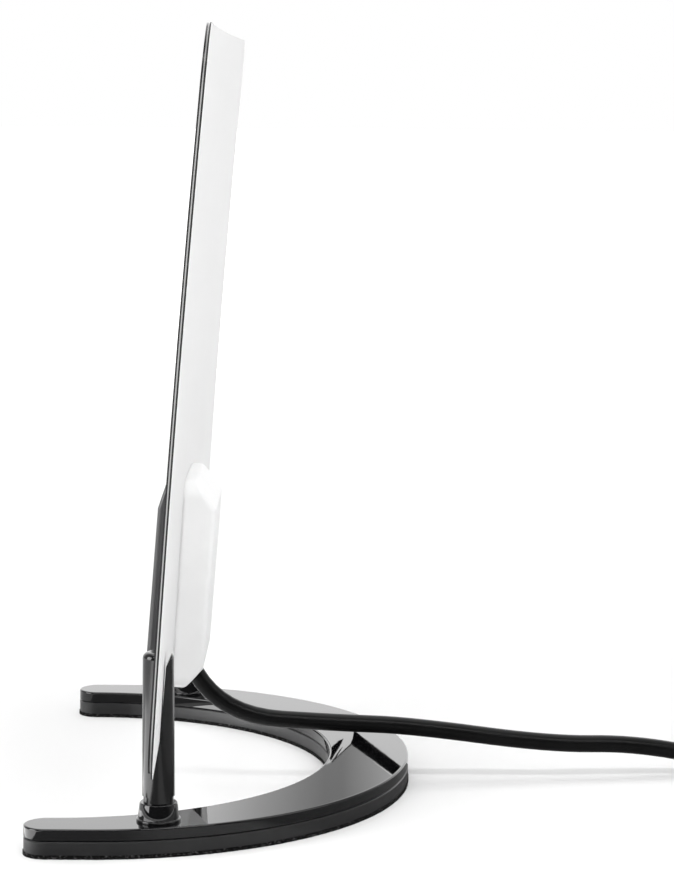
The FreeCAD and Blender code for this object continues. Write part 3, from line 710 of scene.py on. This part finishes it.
def makeSky(c):
    # white to the camera; gloss sees a bright rear wall, quieter sides and a dark room in front
    world = bpy.data.worlds.new("studioSweep")
    world.use_nodes = True
    tree = world.node_tree
    tree.nodes.clear()
    way = addNode(tree, "ShaderNodeTexCoord").outputs["Generated"]
    depth = addNode(tree, "ShaderNodeSeparateXYZ", {"Vector": way}).outputs["Y"]
    side = addNode(tree, "ShaderNodeMapRange", {"Value": depth, "From Min": c["sideRange"][0],
                                                "From Max": c["sideRange"][1],
                                                "To Min": c["frontGloss"], "To Max": c["sideGloss"]},
                   interpolation_type="SMOOTHSTEP")
    rear = addNode(tree, "ShaderNodeMapRange", {"Value": depth, "From Min": c["rearRange"][0],
                                                "From Max": c["rearRange"][1], "To Min": 0.0,
                                                "To Max": c["rearGloss"] - c["sideGloss"]},
                   interpolation_type="SMOOTHSTEP")
    gloss = addNode(tree, "ShaderNodeMath", {0: side.outputs["Result"], 1: rear.outputs["Result"]},
                    operation="ADD")
    light = addNode(tree, "ShaderNodeLightPath")
    glossy = addNode(tree, "ShaderNodeMix", {0: light.outputs["Is Glossy Ray"], 2: c["sky"],
                                             3: gloss.outputs["Value"]})
    seen = addNode(tree, "ShaderNodeMath", {0: light.outputs["Is Camera Ray"],
                                            1: light.outputs["Is Transmission Ray"]}, operation="MAXIMUM")
    power = addNode(tree, "ShaderNodeMix", {0: seen.outputs["Value"], 2: glossy.outputs[0], 3: 1.0})
    sweep = addNode(tree, "ShaderNodeBackground", {"Color": (1, 1, 1, 1), "Strength": power.outputs[0]})
    addNode(tree, "ShaderNodeOutputWorld", {"Surface": sweep.outputs["Background"]})
    bpy.context.scene.world = world


def makeLamps(c):
    for lamp in c["lamps"]:
        data = bpy.data.lights.new(lamp["name"], "AREA")
        data.shape = "RECTANGLE"
        data.size, data.size_y = lamp["size"]
        data.energy = lamp["power"]
        box = bpy.data.objects.new(lamp["name"], data)
        box.location = lamp["place"]
        way = Vector(lamp["aim"]) - Vector(lamp["place"])
        box.rotation_euler = way.to_track_quat("-Z", "Y").to_euler()
        box.visible_glossy = lamp["mirrored"]
        bpy.context.scene.collection.objects.link(box)


# painted reflections: grey, black and white cards that only mirrored rays meet, where the polished base and
# the posts mirror them; mm
cards = {
    # x between which the light let through is given
    "span": (-60.0, 90.0),
    # painted reflection: upright scrim that only the arm's top mirrors; the light it lets through, by x,
    # paints the shading along the arm's top
    "scrimY": 600.0,
    "scrim": [(-60.0, 152.0), (22.0, 152.0), (25.5, 164.5), (28.6, 163.0), (34.0, 158.1), (38.5, 153.8),
              (60.2, 171.0), (90.0, 195.0), (90.0, 260.0), (-60.0, 260.0)],
    "scrimLight": [(-40.0, 1.0), (-28.0, 0.87), (-7.5, 0.61), (12.7, 0.42), (25.0, 0.33), (34.0, 0.33),
                   (48.0, 0.50), (70.0, 0.8)],
    # painted reflection: black cards just before the scrim's lower edge, a strip and the bent leaves beside
    # its upper end, that paint the dark bar mirrored in the base's top
    "blackGap": 1.0,
    "black": {
        "strip": [(40.6, 147.0), (64.6, 165.6), (61.0, 170.4), (38.6, 153.9), (39.7, 147.0)],
        "leaf": [(34.6, 150.7), (31.9, 151.9), (29.3, 154.3), (26.3, 157.6), (26.1, 158.1), (28.2, 162.4),
                 (29.8, 159.5), (31.9, 156.2), (33.5, 153.1)],
        "vein": [(34.4, 154.7), (32.8, 156.4), (30.5, 159.8), (28.4, 162.9), (31.0, 160.5), (32.1, 158.6),
                 (34.2, 155.2)],
        "rim": [(39.6, 147.5), (39.4, 150.2), (37.9, 153.5), (33.8, 157.6), (28.4, 162.9), (28.8, 163.1),
                (34.0, 158.1), (38.4, 154.0), (40.0, 150.2), (40.9, 147.5)],
    },
    # painted reflection: dark card on the floor before the base, ruled from the outline of the base out to
    # its far edge, that darkens the floor mirrored in the base's near walls and the posts
    "frontReach": 330.0,
    "frontArc": (-90.0, 10.0),
    "frontSteps": 40,
    "frontExtra": 30.0,
    "frontHeight": 0.2,
    "frontLight": [(-60.0, 0.26), (-22.0, 0.26), (-6.0, 0.55), (26.0, 0.6), (33.0, 0.24), (60.0, 0.24),
                   (75.0, 0.4)],
    # painted reflection: dark card on the floor before the far arm, that darkens the floor mirrored in the
    # far arm's inner wall
    "far": [(-60.0, 20.0, 0.2), (-34.0, 20.0, 0.2), (-34.0, 69.0, 0.2), (-60.0, 69.0, 0.2)],
    "farLight": 0.25,
    # painted highlight: a white card on the floor to the left that glows though it is no lamp, painting the
    # streak down the posts and collars
    "left": [(-185.0, -260.0, 0.2), (-62.0, -260.0, 0.2), (-62.0, -20.0, 0.2), (-185.0, -20.0, 0.2)],
    "leftGlow": 4.0,
    # painted highlight: small white card before the far arm, beside the post, that glows though it is no
    # lamp and paints a gleam on the far arm's wall
    "gleam": [(-34.0, 38.0, 0.3), (-2.0, 38.0, 0.3), (-6.0, 53.0, 0.3), (-28.0, 57.0, 0.3)],
    "gleamGlow": 8.0,
}


def hangCard(name, points, faces, light, glow=0.0):
    # a card that only mirrored rays meet, a painted reflection: it lets through the share of light that the
    # ramp gives along x, or it glows as a painted highlight
    material, tree = newMaterial(name)
    if glow:
        shade = addNode(tree, "ShaderNodeEmission", {"Strength": glow})
    elif len(light) == 1:
        shade = addNode(tree, "ShaderNodeBsdfTransparent", {"Color": (light[0][1],) * 3 + (1.0,)})
    else:
        low, high = cards["span"]
        place = addNode(tree, "ShaderNodeTexCoord").outputs["Object"]
        along = addNode(tree, "ShaderNodeSeparateXYZ", {"Vector": place}).outputs["X"]
        share = addNode(tree, "ShaderNodeMapRange", {"Value": along, "From Min": low * mm,
                                                     "From Max": high * mm})
        ramp = addNode(tree, "ShaderNodeValToRGB", {"Fac": share.outputs["Result"]})
        tone = setStops(ramp, [((x - low) / (high - low), level) for x, level in light])
        shade = addNode(tree, "ShaderNodeBsdfTransparent", {"Color": tone})
    addNode(tree, "ShaderNodeOutputMaterial", {"Surface": shade.outputs[0]})
    mesh = bpy.data.meshes.new(name)
    mesh.from_pydata((np.array(points) * mm).tolist(), [], faces)
    mesh.materials.append(material)
    card = bpy.data.objects.new(name, mesh)
    card.visible_camera = card.visible_diffuse = card.visible_transmission = False
    card.visible_shadow = card.visible_volume_scatter = False
    bpy.context.scene.collection.objects.link(card)


def makePaintedReflectionCards(c):
    scrim = [(x, c["scrimY"], z) for x, z in c["scrim"]]
    # painted reflection: the scrim paints the shading along the arm's top
    hangCard("scrimCard", scrim, [list(range(len(scrim)))], c["scrimLight"])
    # painted reflection: the black cards paint the dark bar on the base's top
    for name, outline in c["black"].items():
        shape = [(x, c["scrimY"] - c["blackGap"], z) for x, z in outline]
        hangCard(name + "Card", shape, [list(range(len(shape)))], [(0.0, 0.0)])
    # ruled surface: outline of the base at radius outer, then the same angles at the far edge
    angle = np.radians(np.linspace(*c["frontArc"], c["frontSteps"]))
    ring = np.stack([np.cos(angle), np.sin(angle), 0 * angle], -1)
    centre = np.array([crescent["outerCentre"], 0.0, c["frontHeight"]])
    near = centre + crescent["outer"] * ring
    far = centre + (crescent["outer"] + c["frontReach"]) * ring
    leftward = np.array([-c["frontExtra"], 0.0, 0.0])
    near = np.vstack([near[0] + leftward, near])
    far = np.vstack([far[0] + leftward, far])
    count = len(near)
    faces = [[i, i + 1, count + i + 1, count + i] for i in range(count - 1)]
    # painted reflections: the floor and far cards darken what the walls mirror
    hangCard("floorCard", np.vstack([near, far]), faces, c["frontLight"])
    hangCard("farCard", c["far"], [[0, 1, 2, 3]], [(0.0, c["farLight"])])
    # painted highlights: these two cards glow only for mirrored rays
    hangCard("leftCard", c["left"], [[0, 1, 2, 3]], [], c["leftGlow"])
    hangCard("gleamCard", c["gleam"], [[0, 1, 2, 3]], [], c["gleamGlow"])


makeFloor(studio)
makeSky(studio)
makeLamps(studio)
makePaintedReflectionCards(cards)
bpy.context.scene.view_settings.view_transform = "Standard"
print("studio lit")
